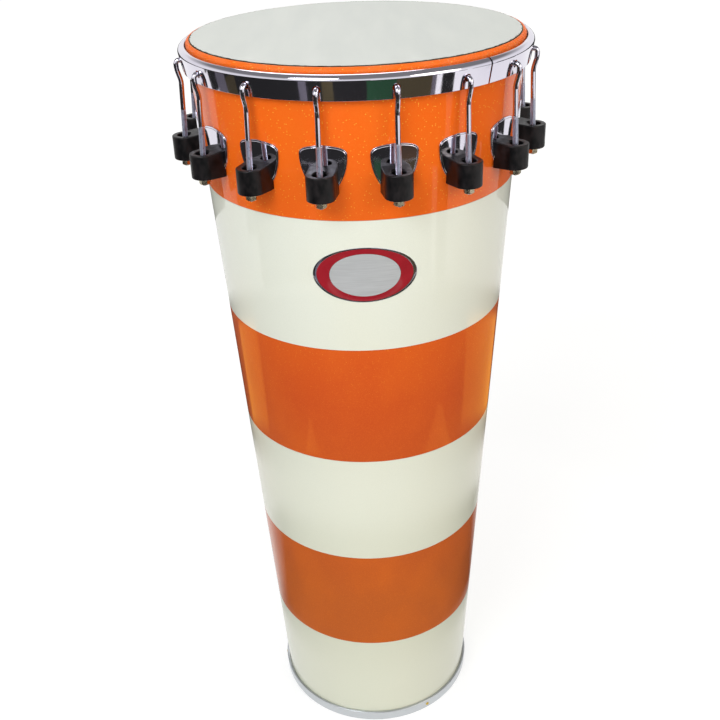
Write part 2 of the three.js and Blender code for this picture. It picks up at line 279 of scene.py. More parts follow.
def mixed(tree, share, first, second):
    """A colour between two, each a hex value or a node's output, where share is 0 for the first."""
    first, second = [linear(c) if isinstance(c, str) else c for c in (first, second)]
    return add(tree, "Mix", {0: share, 6: first, 7: second}, data_type="RGBA").outputs[2]


def spread(tree, value, from_low, from_high, to_low, to_high):
    """A value brought from one range to another."""
    sockets = {0: value, 1: from_low, 2: from_high, 3: to_low, 4: to_high}
    return add(tree, "MapRange", sockets).outputs[0]


def between(tree, pattern, low, high):
    """A value that runs from low to high over the range in which most of a noise lies."""
    return spread(tree, pattern, 0.3, 0.7, low, high)


def tinted(tree, base, pattern, start, full, share, tint):
    """The base colour with a tint over it, which comes in from start to full of a pattern."""
    return mixed(tree, spread(tree, pattern, start, full, 0.0, share), base, tint)


def stretched(tree, scale):
    """Object coordinates, divided by a length in millimetres, or by one for each axis."""
    lengths = scale if isinstance(scale, tuple) else (scale,) * 3
    sockets = {"Vector": place_of(tree), "Scale": [per(length) for length in lengths]}
    return add(tree, "Mapping", sockets).outputs[0]


def noise(tree, scale, detail=2.0, roughness=0.5):
    sockets = {"Vector": stretched(tree, scale), "Scale": 1.0, "Detail": detail, "Roughness": roughness}
    return add(tree, "TexNoise", sockets).outputs[0]


def relief(tree, height, depth):
    """A normal bent by a height, whose full range is that many millimetres deep."""
    return add(tree, "Bump", {"Height": height, "Distance": depth * MM}).outputs[0]


def flakes(tree, cell, share):
    """1 inside a flake, else 0. A share of the cells hold one, which ends at a third of the cell."""
    cells = add(tree, "TexVoronoi", {"Vector": stretched(tree, cell), "Scale": 1.0})
    random = add(tree, "SeparateColor", {0: cells.outputs["Color"]}).outputs[0]
    near = spread(tree, cells.outputs["Distance"], 0.26, 0.34, 1.0, 0.0)
    return worked_out(tree, "MULTIPLY", worked_out(tree, "LESS_THAN", random, share), near)


def height_of(tree):
    return add(tree, "SeparateXYZ", {0: place_of(tree)}).outputs[2]


def painted_shade_by_height(tree, foot, middle, head):
    """A colour that changes up the drum, from three that hold at 225, 525 and 825 mm: painted shade, darker
    lower down.
    """
    height = height_of(tree)
    lower = tinted(tree, foot, height, 0.225, 0.525, 1.0, middle)
    return tinted(tree, lower, height, 0.525, 0.825, 1.0, head)


def glitter_laminate(tree, shine=0.15, gloss=0.7):
    """Decorative laminate, pressed with gold flakes under a clear gloss sheet.

    To the eye: a saturated orange that is a little uneven and, as painted shade, duller towards the foot,
    sparse bright specks that fade downwards as painted light, and sharp reflections. Real flakes are 0.2
    mm; they are drawn larger so that they show.
    """
    # The colour darkens towards the foot as painted shade, where less lamp light falls
    base = painted_shade_by_height(tree, "#C15E24", "#CC4F1B", "#F4670F")
    base = tinted(tree, base, noise(tree, (60, 60, 90), 3.0), 0.4, 0.7, 0.2, "#F0761C")
    base = tinted(tree, base, noise(tree, 1.2), 0.45, 0.75, 0.2, "#F58A2E")
    # The specks fade downwards as painted light: fewer glints show where less light falls
    rise = spread(tree, height_of(tree), 0.5, 0.85, 0.06, 1.0)
    fleck = worked_out(tree, "MULTIPLY", flakes(tree, 1.5, 0.09), rise)
    return principled(tree, {
        "Base Color": mixed(tree, fleck, base, "#FFC84E"),
        "Metallic": spread(tree, fleck, 0.0, 1.0, 0.0, 0.5),
        "Roughness": 0.5,
        "Specular IOR Level": shine,
        "Normal": relief(tree, noise(tree, 5, 1.0), 0.02),
        "Coat Weight": gloss,
        "Coat Roughness": 0.03,
        "Coat IOR": 1.4,
    })


def covered_laminate(tree):
    """The same laminate where the film is stretched over it, which takes away most of its gloss.

    To the eye: the purest orange of the drum, with the film's own reflections on top.
    """
    return glitter_laminate(tree, shine=0.02, gloss=0.1)


def pearl_laminate(tree):
    """Decorative laminate, pressed with mother-of-pearl pigment under a clear gloss sheet.

    To the eye: a greenish cream white with a faint fine grain, darker towards the foot as painted shade,
    and sharp reflections.
    """
    # The colour darkens towards the foot as painted shade, where less lamp light falls
    base = painted_shade_by_height(tree, "#E1E3CF", "#E7E9DB", "#EAEDE2")
    base = tinted(tree, base, noise(tree, (90, 90, 140)), 0.35, 0.65, 0.3, "#E7E6D2")
    base = tinted(tree, base, noise(tree, 0.9), 0.35, 0.65, 0.15, "#CDD3C4")
    return principled(tree, {
        "Base Color": base,
        "Roughness": 0.45,
        "Specular IOR Level": 0.3,
        "Normal": relief(tree, noise(tree, 6, 1.0), 0.02),
        "Coat Weight": 0.7,
        "Coat Roughness": 0.04,
    })


def coated_film(tree):
    """Polyester film, sprayed with a thin frosted coating.

    To the eye: a pale grey with soft reflections and faint streaks, and a thin dark broken line where
    the coating ends over the rim, painted shade for the shadowed slit under the coating's edge.
    """
    streak = noise(tree, (30, 160, 30), 3.0)
    base = tinted(tree, "#CBCFC7", streak, 0.35, 0.65, 1.0, "#D6D9D1")
    place = {0: place_of(tree), 1: (1, 1, 0)}
    flat = add(tree, "VectorMath", place, operation="MULTIPLY").outputs[0]
    # Painted shade: a dark broken line at the coating's edge, for the shadowed slit under it
    edge = (crown_radius - coating_inset) * MM
    rim = spread(tree, length_of(tree, flat), edge - 1.2 * MM, edge - 0.6 * MM, 0.0, 1.0)
    breaks = spread(tree, noise(tree, 7), 0.5, 0.56, 0.0, 1.0)
    line = worked_out(tree, "MULTIPLY", rim, breaks)
    return principled(tree, {
        "Base Color": mixed(tree, line, base, "#2B2822"),
        "Roughness": between(tree, streak, 0.3, 0.4),
        "Normal": relief(tree, noise(tree, 0.6), 0.02),
        "Transmission Weight": 0.08,
        "IOR": 1.5,
    })


def clear_film(tree):
    """Polyester film, heat-formed and left bare at the collar.

    To the eye: what lies under it, very slightly veiled, with sharp reflections and a few white creases.
    The veil's warm tint and the white of the creases are a painted sheen and painted glints.
    """
    haze = noise(tree, (14, 14, 4))
    # The creases are real; their white stands in for glints, a painted highlight
    crease_glint = spread(tree, noise(tree, (3, 3, 1.2), 3.0), 0.68, 0.74, 0.0, 0.5)
    return principled(tree, {
        # The warm tint of the veil is a painted golden sheen
        "Base Color": linear("#F4D0A0"),
        "Roughness": between(tree, haze, 0.04, 0.12),
        "Specular IOR Level": 0.08,
        "IOR": 1.5,
        "Alpha": worked_out(tree, "MAXIMUM", between(tree, haze, 0.01, 0.05), crease_glint),
    })


def metal(tree, pattern, dark, light, smooth, rough, depth, wear=None):
    """Bare metal: a pattern mottles and dents it, and roughens it where wear doesn't."""
    return principled(tree, {
        "Base Color": mixed(tree, pattern, dark, light),
        "Metallic": 1.0,
        "Roughness": between(tree, wear or pattern, smooth, rough),
        "Normal": relief(tree, pattern, depth),
    })


def chrome(tree):
    """Steel, polished and chrome plated.

    To the eye: a bright mirror, faintly violet, that wavers a little where the strip was rolled.
    """
    return metal(tree, noise(tree, 26, 1.0), "#D3CFDD", "#DDDAE5", 0.03, 0.08, 0.06, noise(tree, (3, 3, 9)))


def zinc(tree):
    """Steel thread, rolled and zinc plated.

    To the eye: a pale grey metal, softer and lighter than the chrome beside it.
    """
    return metal(tree, noise(tree, (1.5, 1.5, 3), 3.0), "#BEC1D2", "#DADCEA", 0.26, 0.4, 0.02)


def yellow_zinc(tree):
    """Steel, zinc plated and yellow passivated.

    To the eye: a metal between silver and straw, uneven from face to face.
    """
    return metal(tree, noise(tree, 2.5, 3.0), "#A9A08A", "#D8CFB4", 0.2, 0.35, 0.02)


def drawn_aluminium(tree):
    """Aluminium, extruded, bent round and lightly brushed.

    To the eye: a satin grey with fine lines that run round the ring.
    """
    return metal(tree, noise(tree, (60, 60, 0.8), 3.0), "#B9BDC1", "#D3D6D8", 0.3, 0.45, 0.03)


def brass(tree):
    """Brass, stamped and tumbled.

    To the eye: a warm yellow metal with a soft shine.
    """
    tarnish = noise(tree, 1.5)
    return principled(tree, {
        "Base Color": mixed(tree, tarnish, "#B8963A", "#DDBE5A"),
        "Metallic": 1.0,
        "Roughness": between(tree, tarnish, 0.22, 0.4),
    })


def moulded_nylon(tree):
    """Black nylon, injection moulded in a lightly etched mould.

    To the eye: a near black with a satin skin of fine grit and duller rubbed patches.
    """
    rubbed = noise(tree, (6, 6, 9), 3.0)
    return principled(tree, {
        "Base Color": tinted(tree, "#050507", rubbed, 0.4, 0.7, 1.0, "#1A1517"),
        "Roughness": between(tree, rubbed, 0.3, 0.5),
        "Specular IOR Level": 0.35,
        "Normal": relief(tree, noise(tree, 0.7), 0.05),
    })


def plywood(tree):
    """Hardwood plywood, bent to a cone and left bare inside.

    To the eye: a warm tan with grain that runs up the shell, dull all over.
    """
    grain = noise(tree, (3, 3, 160), 4.0, 0.6)
    base = tinted(tree, "#9C6B3C", grain, 0.3, 0.7, 1.0, "#C99A63")
    return principled(tree, {
        "Base Color": tinted(tree, base, noise(tree, (28, 28, 420)), 0.35, 0.65, 0.5, "#D8B07A"),
        "Roughness": 0.7,
        "Normal": relief(tree, grain, 0.15),
    })


def brushed_plate(tree):
    """Aluminium sheet, brushed and clear lacquered.

    To the eye: a pale silver grey with short level brush lines.
    """
    lines = noise(tree, (22, 22, 0.5), 3.0)
    return principled(tree, {
        "Base Color": mixed(tree, lines, "#B4B6B9", "#DCDEE0"),
        "Metallic": 0.4,
        "Roughness": between(tree, lines, 0.45, 0.6),
        "Normal": relief(tree, lines, 0.02),
        "Coat Weight": 0.5,
    })


def red_enamel(tree):
    """Stoving enamel, run into the sheet's border.

    To the eye: a deep glossy red.
    """
    cloud = noise(tree, 12)
    return principled(tree, {
        "Base Color": mixed(tree, cloud, "#8E0E1E", "#A81828"),
        "Roughness": 0.25,
        "Normal": relief(tree, cloud, 0.03),
        "Coat Weight": 1.0,
    })


ORANGE = material("gloss_laminate_orange_glitter", glitter_laminate)
COVERED = material("gloss_laminate_under_film", covered_laminate)
WHITE = material("gloss_laminate_pearl_white", pearl_laminate)
COATED = material("polyester_film_frosted", coated_film)
CLEAR = material("polyester_film_clear", clear_film)
CHROME = material("steel_chrome_plated", chrome)
ZINC = material("steel_zinc_plated", zinc)
YELLOW_ZINC = material("steel_yellow_zinc_plated", yellow_zinc)
ALUMINIUM = material("aluminium_extruded_satin", drawn_aluminium)
BRASS = material("brass_stamped", brass)
NYLON = material("nylon_moulded_black", moulded_nylon)
PLYWOOD = material("plywood_bent_bare", plywood)
BRUSHED = material("aluminium_sheet_brushed", brushed_plate)
ENAMEL = material("enamel_red", red_enamel)


def mesh_of(name, verts, faces, materials, finish=None):
    """A smooth mesh from points in millimetres. finish picks a material for each face."""
    mesh = bpy.data.meshes.new(name)
    mesh.from_pydata([Vector(v) * MM for v in verts], [], faces)
    for each in materials:
        mesh.materials.append(each)
    if finish:
        for polygon in mesh.polygons:
            polygon.material_index = finish[polygon.index]
    return smooth(mesh)


def smooth(mesh):
    """Joins what coincides, shades smoothly and keeps the edges sharp."""
    work = bmesh.new()
    work.from_mesh(mesh)
    bmesh.ops.remove_doubles(work, verts=work.verts, dist=0.001 * MM)
    work.to_mesh(mesh)
    work.free()
    mesh.shade_smooth()
    mesh.set_sharp_from_angle(angle=SHARP)
    return mesh


def placed(name, data):
    """An object in the scene."""
    obj = bpy.data.objects.new(name, data)
    scene.collection.objects.link(obj)
    return obj


def piece(name, mesh, body, replaced=(), angle=0.0):
    """An object that rides on a body. With an angle it is a copy, turned about the drum's axis."""
    if angle:
        mesh = mesh.copy()
        mesh.transform(Matrix.Rotation(angle, 4, "Z"))
    obj = placed(name, mesh)
    weighted = obj.modifiers.new("weighted", "WEIGHTED_NORMAL")
    weighted.keep_sharp = True
    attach(obj, body)
    if replaced:
        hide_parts(*replaced)
    return obj


def boolean(mesh, cutter):
    """The mesh cut by another, which is used up."""
    base, tool = [placed(m.name, m) for m in (mesh, cutter)]
    cut = base.modifiers.new("cut", "BOOLEAN")
    cut.operation, cut.solver, cut.object = "DIFFERENCE", "EXACT", tool
    shown = base.evaluated_get(bpy.context.evaluated_depsgraph_get())
    result = bpy.data.meshes.new_from_object(shown)
    result.name = mesh.name
    for obj in (base, tool):
        bpy.data.objects.remove(obj)
    return smooth(result)


def rounded(corners, steps=4):
    """Points of an outline from its corners, each a radius, a height and, if it is rounded, a fillet."""
    points = []
    for i, (r, z, *fillet) in enumerate(corners):
        if not fillet:
            points.append((r, z))
            continue
        here, size = Vector((r, z)), fillet[0]
        before = (Vector(corners[i - 1][:2]) - here).normalized()
        after = (Vector(corners[(i + 1) % len(corners)][:2]) - here).normalized()
        half = before.angle(after) / 2
        centre = here + (before + after).normalized() * size / sin(half)
        start = here + before * size / tan(half) - centre
        end = here + after * size / tan(half) - centre
        for step in range(steps + 1):
            points.append(tuple(centre + start.slerp(end, step / steps).normalized() * size))
    return points


def arc(centre, reach, start, end, steps):
    """Points of a stretch of an ellipse, both ends included."""
    turns = [start + (end - start) * i / steps for i in range(steps + 1)]
    return [(centre[0] + reach[0] * cos(t), centre[1] + reach[1] * sin(t)) for t in turns]


def on_axis(*points):
    """An outline that starts and ends on the axis."""
    return [(0, points[0][1]), *points, (0, points[-1][1])]


def even_angles(count, start=0.0):
    return [start + 2 * pi * i / count for i in range(count)]


ROUND = even_angles(STATIONS * STEPS_PER_STATION)


def jointed_angles(centre, gap, radius):
    """Angles of a ring that starts and ends at a joint with that gap."""
    half, count = gap / (2 * radius), len(ROUND)
    return [centre + half + (2 * pi - 2 * half) * i / count for i in range(count + 1)]


def skin(rings, count, looped=False, crosswise=False):
    """Faces from each ring of points to the next, on to the first if looped, turned over if crosswise."""
    faces = []
    for i in range(rings if looped else rings - 1):
        a, b = i * count, (i + 1) % rings * count
        for j in range(count):
            k = (j + 1) % count
            faces.append((a + j, a + k, b + k, b + j) if crosswise else (a + j, b + j, b + k, a + k))
    return faces


def domed(rings, count):
    """Faces of rings of points, closed to a middle point over the last ring and one under the first."""
    last, over = (rings - 1) * count, rings * count
    faces = skin(rings, count, crosswise=True)
    faces += [(last + j, last + (j + 1) % count, over) for j in range(count)]
    return faces + [((j + 1) % count, j, over + 1) for j in range(count)]


def turned(outline, angles=ROUND, closed=True):
    """Points and faces of an anticlockwise outline in radius and height, turned about the axis."""
    rows, columns = len(outline), len(angles)
    verts = [(r * cos(a), r * sin(a), z) for a in angles for r, z in outline]
    faces = skin(columns, rows, looped=closed)
    if not closed:
        faces.append(tuple(range(rows)))
        faces.append(tuple(reversed(range((columns - 1) * rows, columns * rows))))
    return verts, faces


def tube(path, radii, sides):
    """Points and faces of a round bar along a path in the plane of radius and height."""
    verts = []
    for i, (point, radius) in enumerate(zip(path, radii)):
        along = Vector(path[min(i + 1, len(path) - 1)]) - Vector(path[max(i - 1, 0)])
        along.normalize()
        across = Vector((along.y, -along.x))
        for t in even_angles(sides):
            out = across * radius * cos(t)
            verts.append((point[0] + out.x, radius * sin(t), point[1] + out.y))
    ends = [tuple(reversed(range(sides))), tuple(range(len(verts) - sides, len(verts)))]
    return verts, [ends[0], *skin(len(path), sides, crosswise=True), ends[1]]


def hexagon_bar(flats, height, chamfer, bore=0.0, steps=8):
    """Points and faces of a hexagon bar on the axis, its corners turned off at both ends."""
    half = flats / 2
    sixth = pi / 3
    corner = half / cos(sixth / 2)
    turned_off = half * 0.97  # radius of the round end faces

    def reach(angle, z):
        flat = half / cos((angle + sixth / 2) % sixth - sixth / 2)
        fall = max(0, chamfer - min(z, height - z)) / chamfer
        return min(flat, corner - (corner - turned_off) * fall)

    levels = [chamfer * i / 4 for i in range(5)]
    levels += [height - z for z in reversed(levels)]
    verts = []
    for angle in even_angles(6 * steps):
        for r, z in [(bore, 0.0), *[(reach(angle, z), z) for z in levels], (bore, height)]:
            verts.append((r * cos(angle), r * sin(angle), z))
    return verts, skin(6 * steps, len(levels) + 2, looped=True)


def joined(*parts):
    """Several lots of points and faces as one."""
    verts, faces = [], []
    for some_verts, some_faces in parts:
        faces += [tuple(i + len(verts) for i in face) for face in some_faces]
        verts += some_verts
    return verts, faces


def moved(matrix, part):
    verts, faces = part
    return [tuple(matrix @ Vector(v)) for v in verts], faces


def lying(radius, z, turn=QUARTER):
    """Brings what stands on the axis to a radius and a height, where it points outwards."""
    return Matrix.Translation((radius, 0, z)) @ Matrix.Rotation(turn, 4, "Y")


def round_piece(name, outline, finish, body, node):
    """A piece turned from an outline, which takes the place of a node."""
    piece(name, mesh_of(name, *turned(outline), [finish]), body, [node])


def over_rim(outer, top, start=0, end=QUARTER):
    """Points of a layer over the rim, from its outside radius at the side to its height at the crown."""
    return arc((crown_radius, shoulder_z), (outer - crown_radius, top - shoulder_z), start, end, rim_steps)


def make_shell():
    """Bent plywood tube, open at the foot, with a rounded rim and an inner bevel."""
    crown_z = head_z - wrap_thickness - touch_gap
    bevel = (crown_radius - (wood(crown_z) - shell_wall)) / (1 - taper)
    outline = [
        (wood(wood_foot) - shell_wall, wood_foot),
        (wood(wood_foot), wood_foot),
        *over_rim(wood(shoulder_z), crown_z),
        (crown_radius - bevel, crown_z - bevel),
    ]
    round_piece("shell_plywood", outline, PLYWOOD, "shell", "shell")


def make_wraps():
    """Laminate sheets, one to a band, butt jointed at the back. The top one is rolled over the rim."""
    for name in wraps:
        bottom, top = low(name)[2], high(name)[2]
        outline = [(laminate(bottom) - wrap_thickness, bottom), (laminate(bottom), bottom)]
        if name == head_wrap:
            outer = laminate(shoulder_z)
            outline += [(laminate(hoop_bottom), hoop_bottom), *over_rim(outer, head_z)]
            outline += over_rim(outer - wrap_thickness, head_z - wrap_thickness, QUARTER, 0)
        else:
            outline += [(laminate(top), top), (laminate(top) - wrap_thickness, top)]
        angles = jointed_angles(wrap_joint_angle, wrap_joint_gap, laminate(bottom))
        verts, faces = turned(outline, angles, closed=False)
        # From the hoop up the film lies over the laminate
        finish = [int(min(verts[i][2] for i in face) > hoop_bottom - touch_gap) for face in faces]
        shade = name.split("_")[-1]
        finishes = [ORANGE if shade == "orange" else WHITE]
        if any(finish):
            finishes.append(COVERED)
        mesh = mesh_of(name, verts, faces, finishes, finish)
        piece(f"laminate_{name}", mesh, "shell", [name])


def make_foot_ring():
    """Extruded aluminium channel, pushed over the bottom edge."""
    height = high("bottom_ring")[2]

    def outer(z):
        return laminate(z) + touch_gap

    def inner(z):
        return wood(z) - shell_wall - touch_gap

    outline = rounded([
        (inner(0) - ring_inner_wall, 0, 0.5), (outer(0) + ring_wall, 0, ring_round),
        (outer(height) + ring_wall, height, ring_round), (outer(height), height, 0.4),
        (outer(ring_floor), ring_floor), (inner(ring_floor), ring_floor),
        (inner(ring_inner_height), ring_inner_height, 0.4),
        (inner(ring_inner_height) - ring_inner_wall, ring_inner_height, 0.4),
    ])
    round_piece("foot_ring", outline, ALUMINIUM, "shell", "bottom_ring")

    dome = arc((0, nail_edge), (nail_radius, nail_height - nail_edge), 0, QUARTER, 5)
    head = turned([(0, 0), (nail_radius, 0), *dome], even_angles(nail_sides))
    nail_z = height / 2
    nail = mesh_of("ring_nail", *moved(lying(outer(nail_z) + ring_wall, nail_z), head), [BRASS])
    for i, angle in enumerate(even_angles(nail_count, nail_angle)):
        piece(f"ring_nail_{i + 1}", nail, "shell", angle=angle)


def make_head():
    """Film: a frosted disc, and the clear collar that is folded over the rim into the flesh hoop."""
    underside = head_z + touch_gap
    topside = underside + film_thickness
    edge = crown_radius - coating_inset
    disc = on_axis((edge, underside), (edge, topside))
    round_piece("head_disc", disc, COATED, "tension_hoop", "head_film")

    skirt_top = skirt_bottom + film_thickness
    collar = [
        (edge, underside), *reversed(over_rim(collar_inner, underside)),
        (collar_inner, skirt_bottom), (skirt_outer, skirt_bottom),
        (skirt_outer, skirt_top), (collar_outer, skirt_top),
        *over_rim(collar_outer, topside), (edge, topside),
    ]
    round_piece("head_collar", collar, CLEAR, "tension_hoop", "head_film")

    inner = collar_outer + touch_gap
    groove = skirt_outer + touch_gap
    flesh = rounded([
        (inner, flesh_bottom, 0.4), (flesh_outer, flesh_bottom, 0.8),
        (flesh_outer, flesh_top - flesh_hoop_bevel, 0.5), (flesh_outer - flesh_hoop_bevel, flesh_top, 0.5),
        (inner, flesh_top, 0.4), (inner, skirt_top + touch_gap),
        (groove, skirt_top + touch_gap), (groove, skirt_bottom - touch_gap),
        (inner, skirt_bottom - touch_gap),
    ])
    round_piece("flesh_hoop_ring", flesh, ALUMINIUM, "tension_hoop", "flesh_hoop")


def hoop_wall(z):
    """Outside radius of the counterhoop below its rounded corner."""
    share = (z - hoop_bottom) / (hoop_corner_z - hoop_bottom)
    return hoop_top_radius - hoop_taper * (1 - share)


arch = arc(arch_centre, (arch_radius, arch_radius), 0, arch_sweep, arch_steps)
arch_end = arch[-1]
tip_fall = arch_sweep - QUARTER


def past_arch(distance):
    """A point of the hook's straight tip, so far from the end of the arch."""
    return (arch_end[0] - distance * cos(tip_fall), arch_end[1] - distance * sin(tip_fall))


def hook_hole_z():
    """The hook bears on the lower edge of its hole, at the inner face of the hoop."""
    inner_face = hoop_wall(arch_centre[1]) - hoop_thickness
    middle = arch_end[1] - (arch_end[0] - inner_face) * tan(tip_fall)
    return middle - rod_radius / cos(tip_fall) - touch_gap + hook_hole_radius


def make_counterhoop():
    """Rolled steel strip with a flange, a hole for each hook and a joint that shows as a fine line."""
    corner_r = hoop_top_radius - hoop_corner
    corner = (corner_r, hoop_corner_z)
    inner_corner = hoop_corner - hoop_thickness
    flange_inner = collar_outer + flange_clearance
    outline = [
        *rounded([
            (hoop_wall(hoop_bottom) - hoop_thickness, hoop_bottom, 0.5),
            (hoop_wall(hoop_bottom), hoop_bottom, 0.6),
            (hoop_top_radius, hoop_corner_z),
        ])[:-1],
        *arc(corner, (hoop_corner, hoop_corner), 0, QUARTER, hoop_corner_steps),
        *rounded([
            (corner_r, hoop_top),
            (flange_inner, hoop_top, 0.6),
            (flange_inner, hoop_top - hoop_thickness, 0.6),
            (corner_r, hoop_top - hoop_thickness),
        ])[1:-1],
        *arc(corner, (inner_corner, inner_corner), QUARTER, 0, rim_steps),
    ]
    angles = jointed_angles(hoop_joint_angle, hoop_joint_gap, hoop_top_radius)
    hoop = mesh_of("counterhoop_strip", *turned(outline, angles, closed=False), [CHROME])
    reach = 20
    bar = on_axis((hook_hole_radius, -reach), (hook_hole_radius, reach))
    drill = turned(bar, even_angles(hole_sides))
    place = lying(hoop_top_radius, hook_hole_z())
    drills = [moved(Matrix.Rotation(angle, 4, "Z") @ place, drill) for angle in station_angles]
    hoop = boolean(hoop, mesh_of("hook_holes", *joined(*drills), [CHROME]))
    piece("counterhoop_strip", hoop, "tension_hoop", ["counterhoop"])


station_step = 2 * pi / STATIONS
station_angles = even_angles(STATIONS, FRONT + station_step / 2)
thread_end = nut_height + washer_thickness + thread_projection + touch_gap


def on_rod(distance):
    """A point of the leaning rod, so far above the underside of the lug."""
    return (rod_foot - distance * sin(rod_lean), block_bottom + distance * cos(rod_lean))


def rod_frame(distance):
    """Brings the axis to the rod's line, with its start so far above the underside of the lug."""
    return lying(*on_rod(distance), -rod_lean)


def thread(length):
    """A screw thread: one ridge wound round the axis, run out at both ends."""
    count = int(length / thread_pitch * thread_sides)
    half = thread_half_ridge
    root = thread_core - thread_sink
    verts = []
    for i in range(count + 1):
        t = 2 * pi * i / thread_sides
        z = half + (length - 2 * half) * i / count
        run_out = min(1, i / thread_sides, (count - i) / thread_sides)
        crest = root + (thread_crest - root) * run_out
        for r, rise in ((root, -half), (crest, 0), (root, half)):
            verts.append((r * cos(t), r * sin(t), z + rise))
    ends = [(0, 1, 2), (3 * count + 2, 3 * count + 1, 3 * count)]
    return verts, skin(count + 1, 3) + ends


def make_hook_mesh():
    """J-shaped rod: thread, leaning rod, a bend out to the leg, the arch and the tip in the hoop."""
    leg_foot = (leg_radius, arch_centre[1] - leg_length)
    knee = on_rod((leg_foot[1] - bend_height - block_bottom) / cos(rod_lean))
    # The bend leaves the rod at the rod's lean and meets the leg upright, both without a step in its curve
    bend = []
    for s in [i / bend_steps for i in range(1, bend_steps)]:
        out = (leg_radius - knee[0]) * s ** 3 * (10 - 15 * s + 6 * s * s)
        lean = bend_height * tan(rod_lean) * s * (1 - s) ** 3 * (1 + 3 * s)
        bend.append((knee[0] + out - lean, knee[1] + bend_height * s))
    tip = [past_arch(tip_length - rod_chamfer), past_arch(tip_length)]
    thread_top = thread_length - thread_end
    marks = (-thread_end, rod_chamfer - thread_end, thread_top, thread_top + thread_blend)
    path = [*map(on_rod, marks), knee, *bend, leg_foot, *arch, *tip]
    radii = [thread_core - rod_chamfer, thread_core, thread_core] + [rod_radius] * (len(path) - 4)
    radii.append(rod_radius - rod_chamfer)
    bar = tube(path, radii, rod_sides)
    ridge = moved(rod_frame(-thread_end), thread(thread_length))
    # The threaded end is left zinc plated
    zinc_top = on_rod(thread_top + thread_blend + 0.1)[1]
    finish = [int(max(bar[0][i][2] for i in face) < zinc_top) for face in bar[1]]
    finish += [1] * len(ridge[1])
    return mesh_of("hook", *joined(bar, ridge), [CHROME, ZINC], finish)


def make_nut_mesh():
    """Hexagon nut with a turned washer face, seen from below."""
    washer = rounded([
        (nut_bore, -washer_thickness), (washer_radius, -washer_thickness, 0.4),
        (washer_radius, 0, 0.4), (nut_bore, 0),
    ])
    hexagon = hexagon_bar(nut_flats, nut_height + nut_overlap, nut_chamfer, nut_bore)
    hexagon = moved(Matrix.Translation((0, 0, -washer_thickness - nut_height)), hexagon)
    drop = touch_gap + washer_radius * sin(rod_lean)
    both = moved(rod_frame(-drop), joined(turned(washer, even_angles(washer_sides)), hexagon))
    return mesh_of("nut", *both, [YELLOW_ZINC])


def make_block_mesh():
    """Moulded block: round front, a top that climbs to the plate, a deep counterbore for the hook."""
    bore_centre = rod_foot - counterbore_offset
    front = bore_centre + counterbore_radius + block_front_wall
    round_centre = front - block_half_width
    back = laminate(block_bottom) - shell_wall
    slope = block_rise / (round_centre - laminate(block_top))
    reach = (block_half_width, block_half_width)
    plan = [
        (back, -block_half_width),
        *arc((round_centre, 0), reach, -QUARTER, QUARTER, block_front_steps),
        (back, block_half_width),
    ]
    top = [(x, y, block_top + slope * max(0, round_centre - x)) for x, y in plan]
    bottom = [(x, y, block_bottom) for x, y in plan]
    count = len(plan)
    faces = [tuple(reversed(range(count)))]
    faces += [(i, (i + 1) % count, count + (i + 1) % count, count + i) for i in range(count)]
    # The top is level over the round front and climbs behind it
    faces.append(tuple(count + i for i in range(1, count - 1)))
    faces.append((count, count + 1, 2 * count - 2, 2 * count - 1))
    mesh = mesh_of("lug_block", bottom + top, faces, [NYLON])

    work = bmesh.new()
    work.from_mesh(mesh)
    rims = [
        edge for edge in work.edges
        if edge.calc_face_angle(0) > block_rim_fold and max(v.co.x for v in edge.verts) > (back + 1) * MM
    ]
    bmesh.ops.bevel(work, geom=rims, offset=block_round * MM, segments=4, profile=0.5, affect="EDGES")
    work.to_mesh(mesh)
    work.free()

    # What is cut away runs well past the block
    floor_top, floor_foot = block_bottom + block_floor, block_bottom - 10
    mouth, mouth_edge = block_top + 30, block_top + 0.1
    mouth_radius = counterbore_radius + counterbore_chamfer
    bore = on_axis(
        (counterbore_radius, floor_top), (counterbore_radius, mouth_edge - counterbore_chamfer),
        (mouth_radius, mouth_edge), (mouth_radius, mouth),
    )
    hole = on_axis((floor_hole_radius, floor_foot), (floor_hole_radius, mouth))
    seat_foot, seat_top = block_bottom - 20, block_top + 60
    outset = touch_gap + plate_thickness - block_socket
    seat = on_axis((laminate(seat_foot) + outset, seat_foot), (laminate(seat_top) + outset, seat_top))
    for name, outline, x, sides in (
        ("bore", bore, bore_centre, counterbore_sides),
        ("hole", hole, on_rod(block_floor / 2)[0], hole_sides),
        ("seat", seat, 0, len(ROUND)),
    ):
        part = moved(Matrix.Translation((x, 0, 0)), turned(outline, even_angles(sides)))
        mesh = boolean(mesh, mesh_of(name, *part, [NYLON]))
    return mesh


def plate_outline(steps=16):
    """Points of the pick-shaped outline, across and up, anticlockwise from its tip, and its middle."""
    tip = block_bottom - plate_drop
    top = tip + plate_height
    half = plate_half_width
    widest = tip + plate_height * plate_widest_share
    crest = top - widest
    # Control points of the curve from the tip to the widest place, and from there to the top
    quarters = [
        [(0, tip), (half * 0.5, tip), (half, tip + plate_height * 0.4), (half, widest)],
        [(half, widest), (half, widest + crest * 0.75), (half * 0.62, top - crest * 0.12), (0, top)],
    ]
    right = []
    for quarter in quarters:
        a, b, c, d = [Vector(p) for p in quarter]
        for i in range(steps):
            t, u = i / steps, 1 - i / steps
            right.append(a * u ** 3 + b * 3 * t * u ** 2 + c * 3 * t * t * u + d * t ** 3)
    left = [Vector((-p.x, p.y)) for p in reversed(right[1:])]
    return [*right, Vector((0, top)), *left], Vector((0, widest - crest))


def inset(outline, distance):
    """An outline drawn anticlockwise, moved inwards."""
    points = []
    for i, p in enumerate(outline):
        along = (outline[(i + 1) % len(outline)] - outline[i - 1]).normalized()
        points.append(p + Vector((-along.y, along.x)) * distance)
    return points


